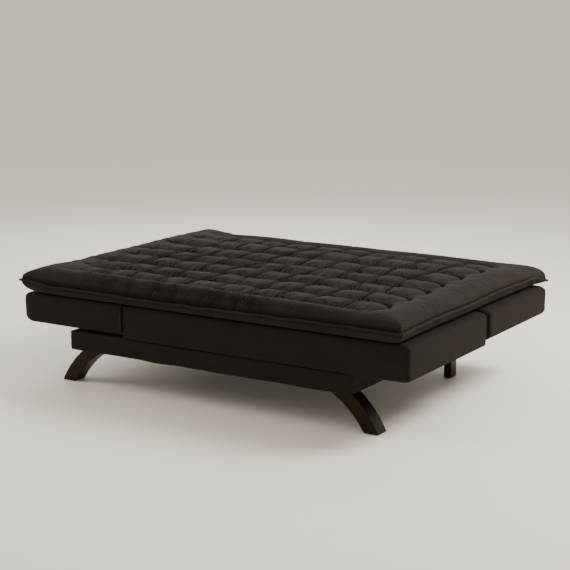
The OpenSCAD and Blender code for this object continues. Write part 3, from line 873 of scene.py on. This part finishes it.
def cut_walls(cells, index, below):
    """Quads that close a pad where its cells meet the other pad's cells."""
    walls = []
    padded = np.pad(cells, 1)
    for axis, step in ((0, -1), (0, 1), (1, -1), (1, 1)):
        neighbour = np.roll(padded, -step, axis)[1:-1, 1:-1]
        for row, column in np.argwhere(cells & ~neighbour):
            if axis == 0:
                line = row + (step > 0)
                ends = [(line, column), (line, column + 1)]
            else:
                line = column + (step > 0)
                ends = [(row, line), (row + 1, line)]
            if (axis == 0) == (step > 0):
                ends.reverse()
            a, b = ends
            if index[a] != below[a] or index[b] != below[b]:
                walls.append([below[a], below[b], index[b], index[a]])
    return walls


def closed_pad(name, top, under, cells, crease):
    """Closed piece of the mattress: chosen cells of its top and underside, walled at the cuts.
    Top and underside share their points round the edge."""
    rows, columns = top.shape[:2]
    index = np.arange(rows * columns).reshape(rows, columns)
    below = index + rows * columns
    below[[0, -1]] = index[[0, -1]]
    below[:, [0, -1]] = index[:, [0, -1]]
    upper = cell_corners(index)[cells]
    lower = cell_corners(below)[cells][:, ::-1]
    faces = np.concatenate([upper, lower, cut_walls(cells, index, below)])
    used, flat = np.unique(faces, return_inverse=True)
    polygons = [
        [corner for n, corner in enumerate(face) if corner != face[n - 1]]
        for face in flat.reshape(faces.shape)
    ]
    points = np.concatenate([top.reshape(-1, 3), under.reshape(-1, 3)])[used]
    pad = mesh_object(name, points, polygons)
    # The crease attribute holds the painted shade mask of the top; the underside has none.
    depth = np.concatenate([crease.reshape(-1), crease.reshape(-1) * 0])[used]
    attribute = pad.data.attributes.new("crease", "FLOAT", "POINT")
    attribute.data.foreach_set("value", depth.astype(np.float32))
    pad.data.materials.append(material_for("mattress_fabric"))
    return pad


def blurred(grid, reach):
    """Grid averaged over a square window."""
    out = grid
    for axis in (0, 1):
        padded = np.pad(out, [(reach, reach) if n == axis else (0, 0) for n in (0, 1)], mode="edge")
        total = np.cumsum(padded, axis=axis)
        total = np.insert(total, 0, 0, axis=axis)
        size = grid.shape[axis]
        high = np.take(total, np.arange(size) + 2 * reach + 1, axis=axis)
        low = np.take(total, np.arange(size), axis=axis)
        out = (high - low) / (2 * reach + 1)
    return out


def hollows(z):
    """0 on crests to 1 in deep creases, for darker cloth where little light falls."""
    wide = np.clip((blurred(z, 7) - z) / 0.0075, 0, 1)
    fine = np.clip((blurred(z, 2) - z) / 0.0013, 0, 1)
    return np.clip(0.8 * wide + 0.6 * fine, 0, 1)


def make_mattress():
    """The front pad over seat and arm, the rear pad over the back, and the top's points."""
    x, y, z, crease = mattress_sheet()
    under_z = underside_height(x, y)
    under_z[0], under_z[-1] = z[0], z[-1]
    under_z[:, 0], under_z[:, -1] = z[:, 0], z[:, -1]
    under_z = np.minimum(under_z, z)
    cells = split_cells(x, y)
    x, y = pull_in(x, y)
    top = np.stack([x, y, z], -1)
    under = np.stack([x, y, under_z], -1)
    front = closed_pad("mattress_front_pad", top, under, cells, crease)
    rear = closed_pad("mattress_rear_pad", top, under, ~cells, crease)
    return front, rear, top


# ---------------------------------------------------------------- the welt

WELT_WIDTH = WELT_STAND + 0.001
WELT_THICKNESS = 0.0095
FAR_SIDE = 9


def welt_strip(name, path, outward):
    """Seam allowance along a path: a flat strip with round edges that stands outward."""
    profile = [
        (-0.9, -0.30), (-0.2, -0.52), (0.5, -0.62), (0.85, -0.54),
        (1.0, -0.15), (0.92, 0.22), (0.6, 0.38), (-0.2, 0.36), (-0.9, 0.10),
    ]
    up = np.array([0.0, 0.0, 1.0])
    rings = np.stack([
        path + across * WELT_WIDTH * outward + lift * WELT_THICKNESS * up
        for across, lift in profile
    ], 1)
    sides = len(profile)
    faces = []
    for ring in range(len(path) - 1):
        for s in range(sides):
            t = (s + 1) % sides
            here, there = ring * sides, (ring + 1) * sides
            faces.append([here + s, there + s, there + t, here + t])
    faces.append(list(range(sides)))
    faces.append([(len(path) - 1) * sides + s for s in reversed(range(sides))])
    made = mesh_object(name, rings.reshape(-1, 3), faces)
    made.data.materials.append(material_for("mattress_fabric"))
    return made


def edge_loop(grid):
    """Points round the rim of the grid, from the front left corner anticlockwise."""
    return np.concatenate([grid[0, :-1], grid[:-1, -1], grid[-1, :0:-1], grid[:0:-1, 0]])


def make_welt(grid):
    """Front welt on seat and arm, rear welt on seat and back, meeting at the cuts."""
    loop = edge_loop(grid)
    along = np.roll(loop, -2, axis=0) - np.roll(loop, 2, axis=0)
    along[:, 2] = 0
    along /= np.linalg.norm(along, axis=1, keepdims=True)
    outward = np.stack([along[:, 1], -along[:, 0], 0 * along[:, 0]], -1)
    outward /= np.max(np.abs(outward), axis=1, keepdims=True)
    loop[:, 2] += 0.0012 * wander(loop[:, 0], loop[:, 1], 0.05, 71)
    right = loop[:, 0] > 0
    seat_cut = np.argmin(np.abs(loop[:, 1] - row_seams[SEAT_ROWS - 1]) + FAR_SIDE * ~right)
    arm_cut = np.argmin(np.abs(loop[:, 1] - FOLD_Y) + FAR_SIDE * right)
    order = (np.arange(len(loop) + 1) + arm_cut) % len(loop)
    length = (seat_cut - arm_cut) % len(loop)
    in_front, behind = order[:length + 1], order[length:]
    front = welt_strip("mattress_front_welt", loop[in_front], outward[in_front])
    rear = welt_strip("mattress_rear_welt", loop[behind], outward[behind])
    return front, rear


# ---------------------------------------------------------------- upholstered blocks

BLOCK_STEP = 0.012
BLOCK_BULGE = 0.003
MARGIN_POINTS = 7
WELD_DISTANCE = 1e-5


def block_grid(low, high, margins):
    """Points and faces of a box whose edges are rounded by a margin on each side."""
    sizes = high - low
    points, faces = [], []
    for axis in range(3):
        a, b = [n for n in range(3) if n != axis]
        along_a = line_with_margins(sizes[a], margins[a])
        along_b = line_with_margins(sizes[b], margins[b])
        u, v = np.meshgrid(along_a, along_b)
        for end in (0, 1):
            sheet = np.empty(u.shape + (3,))
            sheet[..., a] = low[a] + u
            sheet[..., b] = low[b] + v
            sheet[..., axis] = (low, high)[end][axis]
            quads = grid_faces(*u.shape) + sum(len(p) for p in points)
            flip = (axis == 1) != (end == 0)
            faces.append(quads[:, ::-1] if flip else quads)
            points.append(sheet.reshape(-1, 3))
    points = np.concatenate(points)
    faces = np.concatenate(faces)
    inner_low = low + np.array([m[0] for m in margins])
    inner_high = high - np.array([m[1] for m in margins])
    nearest = np.clip(points, inner_low, inner_high)
    offset = points - nearest
    reach = np.where(offset < 0, [m[0] for m in margins], [m[1] for m in margins])
    unit = offset / reach
    length = np.linalg.norm(unit, axis=1, keepdims=True)
    biggest = np.max(np.abs(unit), axis=1, keepdims=True)
    scale = np.where(length > 1e-9, biggest / np.maximum(length, 1e-9), 1)
    return nearest + unit * scale * reach, faces


def line_with_margins(size, margin):
    """Places along a side, closer together in its rounded margins."""
    slope = np.tan(np.linspace(0, 1, MARGIN_POINTS) * math.pi / 4)
    start = margin[0] * (1 - slope[::-1])
    finish = size - margin[1] * (1 - slope)
    count = max(2, int(round((finish[0] - start[-1]) / BLOCK_STEP)))
    middle = np.linspace(start[-1], finish[0], count + 1)[1:-1]
    return np.concatenate([start, middle, finish])


def merged(points, faces):
    """Mesh of the faces with points in one place made one, facing outward."""
    mesh = bpy.data.meshes.new("merge_trial")
    mesh.from_pydata([tuple(p) for p in points], [], [tuple(int(i) for i in f) for f in faces])
    work = bmesh.new()
    work.from_mesh(mesh)
    bmesh.ops.remove_doubles(work, verts=work.verts, dist=WELD_DISTANCE)
    bmesh.ops.recalc_face_normals(work, faces=work.faces)
    work.to_mesh(mesh)
    work.free()
    return mesh


def vertex_values(mesh, field):
    """One vector for every vertex of a mesh, such as its place or its normal."""
    values = np.empty(len(mesh.vertices) * 3)
    mesh.vertices.foreach_get(field, values)
    return values.reshape(-1, 3)


def puffed_block(name, low, high, margins, seed):
    """Upholstered block: round edges, slightly crowned sides, faint drag lines in the cloth."""
    mesh = merged(*block_grid(low, high, margins))
    co = vertex_values(mesh, "co")
    normals = vertex_values(mesh, "normal")
    unit = (co - low) / (high - low) * 2 - 1
    crown = np.prod(np.where(np.abs(normals) > 0.5, 1, 1 - np.abs(unit) ** 4), axis=1)
    side = 1 - np.abs(normals[:, 2])
    drag = 0.0006 * wander(co[:, 0] + co[:, 1], 3.0 * co[:, 2], 0.12, seed)
    drag += 0.0008 * wander(co[:, 0] + co[:, 1], 0.6 * co[:, 2], 0.5, seed + 1)
    push = (BLOCK_BULGE * crown - BLOCK_BULGE) * side + drag * side
    co = co + normals * push[:, None]
    mesh.vertices.foreach_set("co", co.reshape(-1))
    mesh.update()
    mesh.shade_smooth()
    mesh.materials.append(material_for("base_fabric"))
    made = bpy.data.objects.new(name, mesh)
    bpy.context.collection.objects.link(made)
    return made


ROUND_END = 0.040
ROUND_FRONT = 0.022
ROUND_TOP = 0.022
ROUND_UNDER = 0.032
END_SWELL = 0.013
ROUND_BOTTOM = 0.012
ARM_GAP_EDGE = 0.006
BACK_GAP_EDGE = 0.022
ARM_GAP_FILL = 0.0085
PANEL_PROUD = 0.0015


def make_blocks():
    """The seat, arm and back blocks, rounded at their free ends and tighter at the gaps.
    Their undersides lie a little above the dust panels, which show there."""
    lift = np.array([0, 0, PANEL_PROUD])
    fill = np.array([ARM_GAP_FILL, 0, 0])
    end = np.array([END_SWELL, 0, 0])
    seat = puffed_block(
        "seat_block", seat_low - fill + lift, seat_high + end,
        [(ARM_GAP_EDGE, ROUND_END), (ROUND_FRONT, BACK_GAP_EDGE), (ROUND_BOTTOM, ROUND_TOP)], 101,
    )
    arm = puffed_block(
        "arm_block", arm_low - end + lift, arm_high + fill,
        [(ROUND_END, ARM_GAP_EDGE), (ROUND_FRONT, BACK_GAP_EDGE), (ROUND_UNDER, ROUND_TOP)], 111,
    )
    back = puffed_block(
        "back_block", back_low - end + lift, back_high + end,
        [(ROUND_END, ROUND_END), (BACK_GAP_EDGE, ROUND_FRONT), (ROUND_UNDER, ROUND_TOP)], 121,
    )
    return seat, arm, back


# ---------------------------------------------------------------- box cover

BOX_CORNER = 0.005
ARC_POINTS = 7
COVER_STEP = 0.011
HEM_TURN = 0.032
TOP_TURN = 0.070


def rounded_rectangle(low, high):
    """Points and outward directions round a rectangle with arcs at its corners."""
    points, outward = [], []
    middle, half = (low + high) / 2, (high - low) / 2 - BOX_CORNER
    centres = [middle + half * np.array(side) for side in ((1, -1), (1, 1), (-1, 1), (-1, -1))]
    for n, centre in enumerate(centres):
        for degrees in np.linspace(90 * n - 90, 90 * n, ARC_POINTS):
            direction = np.array([math.cos(math.radians(degrees)), math.sin(math.radians(degrees))])
            points.append(centre + BOX_CORNER * direction)
            outward.append(direction)
        first, last = points[-1], centres[(n + 1) % 4] + BOX_CORNER * outward[-1]
        count = int(np.linalg.norm(last - first) / COVER_STEP)
        for part in range(1, count):
            points.append(first + (last - first) * part / count)
            outward.append(outward[-1])
    return np.array(points), np.array(outward)


def make_box_cover():
    """Cloth stretched round the box: folded in over its rails and under its lower edge."""
    path, outward = rounded_rectangle(box_low[:2], box_high[:2])
    bottom, top = float(box_low[2]), float(box_high[2])
    outer = [(-TOP_TURN, top + 0.0012), (-0.005, top + 0.0014)]
    outer += [(-0.0012, top + 0.0008), (0.0, top - 0.0015)]
    outer += [(0.0, z) for z in np.linspace(top - 0.012, bottom + 0.012, 7)]
    outer += [(0.0, bottom + 0.005), (-0.0005, bottom + 0.0022)]
    outer += [(-0.003, bottom), (-HEM_TURN, bottom + 0.0002)]
    inner = [(-HEM_TURN, bottom + 0.0016), (-0.0045, bottom + 0.0018), (-0.0018, bottom + 0.004)]
    inner += [(-0.0018, top - 0.004), (-0.0024, top + 0.0004), (-TOP_TURN, top + 0.0004)]
    profile = outer + inner
    height = (np.array([z for _, z in profile]) - bottom) / (top - bottom)
    side_x, side_y = path[:, 0], path[:, 1]
    slack = 0.0008 * (1 + wander(side_x, side_y, 0.22, 81))
    hem = 0.0016 * wander(side_x, side_y, 0.16, 82) - 0.0008
    rings = []
    for (offset, z), h in zip(profile, height):
        fine = 0.0004 * (1 + wander(side_x, side_y + 4 * z, 0.07, 83))
        swing = (slack + fine) * math.sin(math.pi * np.clip(h, 0, 1))
        drop = hem * (1 - smooth(h / 0.5))
        ring = np.empty((len(path), 3))
        ring[:, :2] = path + (offset + swing)[:, None] * outward
        ring[:, 2] = z + drop
        rings.append(ring)
    points = np.stack(rings, 1)
    count, sides = points.shape[:2]
    faces = []
    for a in range(count):
        b = (a + 1) % count
        for s in range(sides):
            t = (s + 1) % sides
            faces.append([a * sides + s, b * sides + s, b * sides + t, a * sides + t][::-1])
    made = mesh_object("box_cover_cloth", points.reshape(-1, 3), faces)
    made.data.materials.append(material_for("base_fabric"))
    return made


# ---------------------------------------------------------------- legs

LEG_BEVEL = 0.0025


def bevelled_copy(node, name):
    """Copy of a leg's CAD node with its sharp edges eased."""
    mesh = frame["nodes"][node].data.copy()
    work = bmesh.new()
    work.from_mesh(mesh)
    bmesh.ops.remove_doubles(work, verts=work.verts, dist=WELD_DISTANCE)
    bmesh.ops.dissolve_limit(work, angle_limit=math.radians(1), verts=work.verts, edges=work.edges)
    sharp_angle = math.radians(30)
    sharp = [e for e in work.edges if len(e.link_faces) == 2 and e.calc_face_angle(0) > sharp_angle]
    bmesh.ops.bevel(
        work, geom=sharp, offset=LEG_BEVEL, segments=3, profile=0.6, affect="EDGES", clamp_overlap=True,
    )
    work.to_mesh(mesh)
    work.free()
    mesh.materials.clear()
    mesh.materials.append(material_for("leg_lacquer"))
    for polygon in mesh.polygons:
        polygon.material_index = 0
    mesh.shade_smooth()
    made = bpy.data.objects.new(name, mesh)
    bpy.context.collection.objects.link(made)
    return made


# ---------------------------------------------------------------- build

make_camera()
make_stage()
dress_cad_nodes()

front_pad, rear_pad, top_grid = make_mattress()
front_welt, rear_welt = make_welt(top_grid)
seat_block, arm_block, back_block = make_blocks()

SECTION_CLOTH = ("core", "top", "underside", "welt")

for piece in (front_pad, front_welt):
    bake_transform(piece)
for piece in (rear_pad, rear_welt):
    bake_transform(piece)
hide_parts(*[f"mattress_{s}_{c}" for s in ("seat", "arm") for c in SECTION_CLOTH])
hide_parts(*[f"mattress_back_{c}" for c in SECTION_CLOTH])

for piece, body, section in (
    (seat_block, "root", "seat"), (arm_block, "arm", "arm"), (back_block, "back", "back"),
):
    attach(piece, body)
    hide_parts(f"{section}_cover", f"{section}_foam")

box_cover = make_box_cover()
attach(box_cover, "root")
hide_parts("base_cover")

for leg in ("front_leg_left", "front_leg_right", "rear_leg_left", "rear_leg_right"):
    finished = bevelled_copy(leg, f"{leg}_lacquered")
    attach(finished, "root")
    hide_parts(leg)
